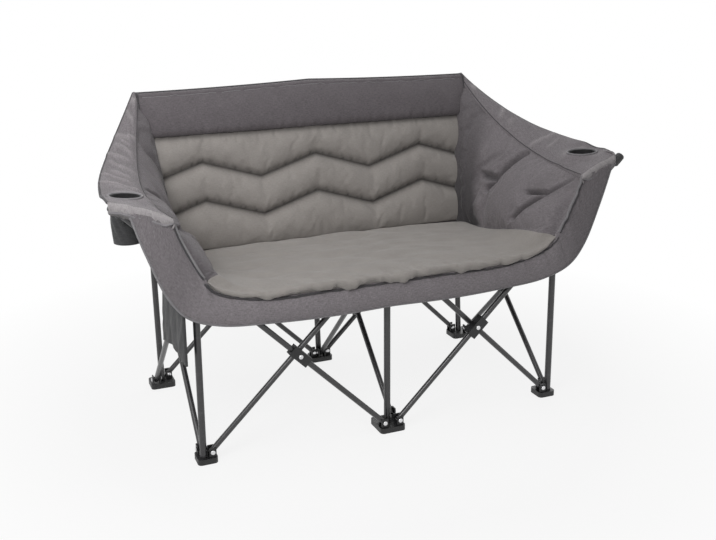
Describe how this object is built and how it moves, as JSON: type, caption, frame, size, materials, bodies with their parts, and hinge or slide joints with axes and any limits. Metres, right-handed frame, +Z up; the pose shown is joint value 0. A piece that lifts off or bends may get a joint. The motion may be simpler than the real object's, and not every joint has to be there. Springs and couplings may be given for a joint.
{
  "type": "folding camping loveseat",
  "caption": "Wide folding camp seat for two: a steel scissor frame carries a padded fabric bucket with winged arms, cup holders and a high back.",
  "frame": {"origin": "on the floor under the middle of the loveseat's box", "axes": "+X to the sitter's left across the seat, +Y from the front to the back, +Z up"},
  "size_m": [1.5286, 0.6852, 0.956],
  "materials": {
    "painted_steel": "satin dark grey powder coat",
    "black_plastic": "satin moulded black",
    "shell_fabric": "purple-grey woven polyester",
    "pad_fabric": "light warm grey quilted polyester",
    "pocket_fabric": "dark grey woven polyester"
  },
  "bodies": {
    "front_leg_middle": {"front_post_middle": "painted_steel", "front_foot_middle": "black_plastic", "front_apron": "shell_fabric", "seat_support_strap": "pocket_fabric"},
    "front_long_left": {"front_long_brace_left": "painted_steel", "front_crossing_block_left": "black_plastic", "arm_tip_cap_left": "black_plastic"},
    "front_short_left": {"front_short_brace_left": "painted_steel"},
    "front_leg_left": {"front_post_left": "painted_steel", "front_foot_left": "black_plastic", "front_band_left": "shell_fabric", "side_pocket": "pocket_fabric"},
    "front_hub_left": {"front_hub_left": "black_plastic", "front_slide_rod_left": "painted_steel"},
    "front_long_right": {"front_long_brace_right": "painted_steel", "front_crossing_block_right": "black_plastic", "arm_tip_cap_right": "black_plastic"},
    "front_short_right": {"front_short_brace_right": "painted_steel"},
    "front_leg_right": {"front_post_right": "painted_steel", "front_foot_right": "black_plastic", "front_band_right": "shell_fabric"},
    "front_hub_right": {"front_hub_right": "black_plastic", "front_slide_rod_right": "painted_steel"},
    "middle_rearward": {"middle_brace_rearward": "painted_steel", "middle_crossing_block": "black_plastic"},
    "middle_forward": {"middle_brace_forward": "painted_steel"},
    "rear_leg_middle": {"rear_post_middle": "painted_steel", "rear_foot_middle": "black_plastic", "back_pad": "pad_fabric", "back_shell": "shell_fabric", "headrest_band": "shell_fabric"},
    "side_rearward_left": {"side_brace_rearward_left": "painted_steel", "side_crossing_block_left": "black_plastic"},
    "side_forward_left": {"side_brace_forward_left": "painted_steel"},
    "rear_outward_left": {"rear_brace_outward_left": "painted_steel", "rear_crossing_block_left": "black_plastic"},
    "rear_inward_left": {"rear_brace_inward_left": "painted_steel"},
    "rear_leg_left": {"rear_post_left": "painted_steel", "rear_foot_left": "black_plastic", "arm_pad_left": "shell_fabric"},
    "rear_hub_left": {"rear_hub_left": "black_plastic"},
    "side_rearward_right": {"side_brace_rearward_right": "painted_steel", "side_crossing_block_right": "black_plastic"},
    "side_forward_right": {"side_brace_forward_right": "painted_steel"},
    "rear_outward_right": {"rear_brace_outward_right": "painted_steel", "rear_crossing_block_right": "black_plastic"},
    "rear_inward_right": {"rear_brace_inward_right": "painted_steel"},
    "rear_leg_right": {"rear_post_right": "painted_steel", "rear_foot_right": "black_plastic", "arm_pad_right": "shell_fabric"},
    "rear_hub_right": {"rear_hub_right": "black_plastic"},
    "rear_hub_middle": {"rear_hub_middle": "black_plastic"},
    "seat": {"seat_pad": "pad_fabric", "seat_sling": "shell_fabric"},
    "arm_top_left": {"arm_top_left": "shell_fabric", "cup_holder_left": "pocket_fabric", "strap_buckle": "black_plastic"},
    "arm_top_right": {"arm_top_right": "shell_fabric", "cup_holder_right": "pocket_fabric"}
  },
  "joints": [
    {"name": "fold", "type": "hinge", "parent": "front_leg_middle", "child": "front_long_left", "pos_m": [-0.024, -0.317, 0.03], "axis": [0, 1, 0], "range_deg": [0, 43], "deforming": ["front_apron", "seat_support_strap", "front_band_left", "front_band_right", "side_pocket", "back_pad", "back_shell", "headrest_band", "arm_pad_left", "arm_pad_right", "seat_pad", "seat_sling", "arm_top_left", "arm_top_right", "cup_holder_left", "cup_holder_right", "strap_buckle"]},
    {"name": "fold_front_short_left", "type": "hinge", "parent": "front_long_left", "child": "front_short_left", "pos_m": [-0.275, -0.291, 0.275], "axis": [0, -1, 0], "range_deg": [0, 86]},
    {"name": "fold_front_leg_left", "type": "hinge", "parent": "front_short_left", "child": "front_leg_left", "pos_m": [-0.526, -0.291, 0.03], "axis": [0, 1, 0], "range_deg": [0, 43]},
    {"name": "fold_front_hub_left", "type": "hinge", "parent": "front_long_left", "child": "front_hub_left", "pos_m": [-0.526, -0.317, 0.52], "axis": [0, -1, 0], "range_deg": [0, 43]},
    {"name": "fold_front_long_right", "type": "hinge", "parent": "front_leg_middle", "child": "front_long_right", "pos_m": [0.024, -0.317, 0.03], "axis": [0, -1, 0], "range_deg": [0, 43]},
    {"name": "fold_front_short_right", "type": "hinge", "parent": "front_long_right", "child": "front_short_right", "pos_m": [0.275, -0.291, 0.275], "axis": [0, 1, 0], "range_deg": [0, 86]},
    {"name": "fold_front_leg_right", "type": "hinge", "parent": "front_short_right", "child": "front_leg_right", "pos_m": [0.526, -0.291, 0.03], "axis": [0, -1, 0], "range_deg": [0, 43]},
    {"name": "fold_front_hub_right", "type": "hinge", "parent": "front_long_right", "child": "front_hub_right", "pos_m": [0.526, -0.317, 0.52], "axis": [0, 1, 0], "range_deg": [0, 43]},
    {"name": "fold_middle_rearward", "type": "hinge", "parent": "front_leg_middle", "child": "middle_rearward", "pos_m": [0.022, -0.267, 0.03], "axis": [1, 0, 0], "range_deg": [0, 43]},
    {"name": "fold_middle_forward", "type": "hinge", "parent": "middle_rearward", "child": "middle_forward", "pos_m": [0, -0.016, 0.275], "axis": [-1, 0, 0], "range_deg": [0, 86]},
    {"name": "fold_rear_leg_middle", "type": "hinge", "parent": "middle_forward", "child": "rear_leg_middle", "pos_m": [0, 0.235, 0.03], "axis": [1, 0, 0], "range_deg": [0, 43]},
    {"name": "fold_side_rearward_left", "type": "hinge", "parent": "front_leg_left", "child": "side_rearward_left", "pos_m": [-0.55, -0.267, 0.03], "axis": [1, 0, 0], "range_deg": [0, 43]},
    {"name": "fold_side_forward_left", "type": "hinge", "parent": "side_rearward_left", "child": "side_forward_left", "pos_m": [-0.572, -0.016, 0.275], "axis": [-1, 0, 0], "range_deg": [0, 86]},
    {"name": "fold_rear_outward_left", "type": "hinge", "parent": "rear_leg_middle", "child": "rear_outward_left", "pos_m": [-0.024, 0.248, 0.03], "axis": [0, 1, 0], "range_deg": [0, 43]},
    {"name": "fold_rear_inward_left", "type": "hinge", "parent": "rear_outward_left", "child": "rear_inward_left", "pos_m": [-0.275, 0.27, 0.275], "axis": [0, -1, 0], "range_deg": [0, 86]},
    {"name": "fold_rear_leg_left", "type": "hinge", "parent": "rear_inward_left", "child": "rear_leg_left", "pos_m": [-0.526, 0.27, 0.03], "axis": [0, 1, 0], "range_deg": [0, 43]},
    {"name": "fold_rear_hub_left", "type": "hinge", "parent": "rear_outward_left", "child": "rear_hub_left", "pos_m": [-0.526, 0.248, 0.52], "axis": [0, -1, 0], "range_deg": [0, 43]},
    {"name": "fold_side_rearward_right", "type": "hinge", "parent": "front_leg_right", "child": "side_rearward_right", "pos_m": [0.55, -0.267, 0.03], "axis": [1, 0, 0], "range_deg": [0, 43]},
    {"name": "fold_side_forward_right", "type": "hinge", "parent": "side_rearward_right", "child": "side_forward_right", "pos_m": [0.572, -0.016, 0.275], "axis": [-1, 0, 0], "range_deg": [0, 86]},
    {"name": "fold_rear_outward_right", "type": "hinge", "parent": "rear_leg_middle", "child": "rear_outward_right", "pos_m": [0.024, 0.248, 0.03], "axis": [0, -1, 0], "range_deg": [0, 43]},
    {"name": "fold_rear_inward_right", "type": "hinge", "parent": "rear_outward_right", "child": "rear_inward_right", "pos_m": [0.275, 0.27, 0.275], "axis": [0, 1, 0], "range_deg": [0, 86]},
    {"name": "fold_rear_leg_right", "type": "hinge", "parent": "rear_inward_right", "child": "rear_leg_right", "pos_m": [0.526, 0.27, 0.03], "axis": [0, -1, 0], "range_deg": [0, 43]},
    {"name": "fold_rear_hub_right", "type": "hinge", "parent": "rear_outward_right", "child": "rear_hub_right", "pos_m": [0.526, 0.248, 0.52], "axis": [0, 1, 0], "range_deg": [0, 43]},
    {"name": "fold_rear_hub_middle", "type": "hinge", "parent": "rear_inward_left", "child": "rear_hub_middle", "pos_m": [-0.024, 0.27, 0.52], "axis": [0, 1, 0], "range_deg": [0, 43]},
    {"name": "fold_seat", "type": "hinge", "parent": "front_leg_middle", "child": "seat", "pos_m": [0, -0.31, 0.48], "axis": [1, 0, 0], "range_deg": [0, 89.87]},
    {"name": "fold_arm_top_left", "type": "hinge", "parent": "rear_leg_left", "child": "arm_top_left", "pos_m": [-0.6, 0.059, 0.712], "axis": [0, -1, 0], "range_deg": [0, 86]},
    {"name": "fold_arm_top_right", "type": "hinge", "parent": "rear_leg_right", "child": "arm_top_right", "pos_m": [0.6, 0.059, 0.712], "axis": [0, 1, 0], "range_deg": [0, 86]}
  ],
  "couplings": [
    {"joint": "fold_front_short_left", "follows": "fold", "ratio": 2},
    {"joint": "fold_front_leg_left", "follows": "fold", "ratio": 1},
    {"joint": "fold_front_hub_left", "follows": "fold", "ratio": 1},
    {"joint": "fold_front_long_right", "follows": "fold", "ratio": 1},
    {"joint": "fold_front_short_right", "follows": "fold", "ratio": 2},
    {"joint": "fold_front_leg_right", "follows": "fold", "ratio": 1},
    {"joint": "fold_front_hub_right", "follows": "fold", "ratio": 1},
    {"joint": "fold_middle_rearward", "follows": "fold", "ratio": 1},
    {"joint": "fold_middle_forward", "follows": "fold", "ratio": 2},
    {"joint": "fold_rear_leg_middle", "follows": "fold", "ratio": 1},
    {"joint": "fold_side_rearward_left", "follows": "fold", "ratio": 1},
    {"joint": "fold_side_forward_left", "follows": "fold", "ratio": 2},
    {"joint": "fold_rear_outward_left", "follows": "fold", "ratio": 1},
    {"joint": "fold_rear_inward_left", "follows": "fold", "ratio": 2},
    {"joint": "fold_rear_leg_left", "follows": "fold", "ratio": 1},
    {"joint": "fold_rear_hub_left", "follows": "fold", "ratio": 1},
    {"joint": "fold_side_rearward_right", "follows": "fold", "ratio": 1},
    {"joint": "fold_side_forward_right", "follows": "fold", "ratio": 2},
    {"joint": "fold_rear_outward_right", "follows": "fold", "ratio": 1},
    {"joint": "fold_rear_inward_right", "follows": "fold", "ratio": 2},
    {"joint": "fold_rear_leg_right", "follows": "fold", "ratio": 1},
    {"joint": "fold_rear_hub_right", "follows": "fold", "ratio": 1},
    {"joint": "fold_rear_hub_middle", "follows": "fold", "ratio": 1},
    {"joint": "fold_seat", "follows": "fold", "ratio": 2.09},
    {"joint": "fold_arm_top_left", "follows": "fold", "ratio": 2},
    {"joint": "fold_arm_top_right", "follows": "fold", "ratio": 2}
  ]
}
